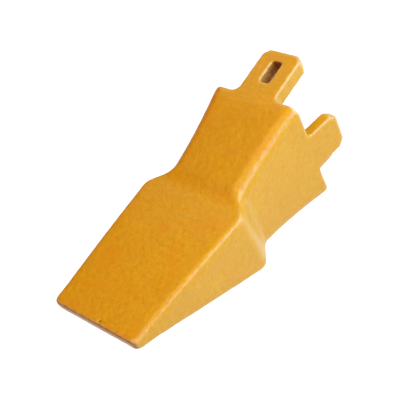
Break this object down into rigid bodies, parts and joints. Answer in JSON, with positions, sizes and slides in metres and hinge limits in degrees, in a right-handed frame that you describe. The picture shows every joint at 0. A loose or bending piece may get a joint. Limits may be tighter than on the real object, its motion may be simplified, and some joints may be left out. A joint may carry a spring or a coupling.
{
  "type": "excavator bucket tooth",
  "caption": "Flat-tipped cast steel digging tooth with a tapered socket, slotted tongues for a vertical lock pin, side ears, and its rubber-cored flex pin lying loose in the socket.",
  "frame": {"origin": "centre of the socket's mouth, in the plane of the rear rim", "axes": "+Y out of the socket towards the bucket lip, -Y to the digging tip, +Z through the top tongue, +X to the tooth's right ear seen from above with the tip away; the tooth is a mirror image of itself across X = 0"},
  "size_m": [0.116, 0.2982, 0.1268],
  "materials": {
    "enamel": "yellow-orange gloss enamel, dipped or sprayed over a rough cast steel skin",
    "pin_steel": "hot-rolled bar with a dark heat-treatment scale",
    "pin_rubber": "black moulded rubber"
  },
  "bodies": {
    "tooth": {"tooth_point": "enamel"},
    "pin": {"pin_front_bar": "pin_steel", "pin_rubber": "pin_rubber"},
    "pin_rear": {"pin_rear_bar": "pin_steel"}
  },
  "joints": [
    {"name": "pin_slide", "type": "slide", "parent": "tooth", "child": "pin", "axis": [0, 1, 0], "range_m": [0, 0.17]},
    {"name": "pin_squeeze", "type": "slide", "parent": "pin", "child": "pin_rear", "axis": [-1, 0, 0], "range_m": [0, 0.002], "stiffness_N_per_m": 50000, "deforming": ["pin_rubber"]}
  ]
}
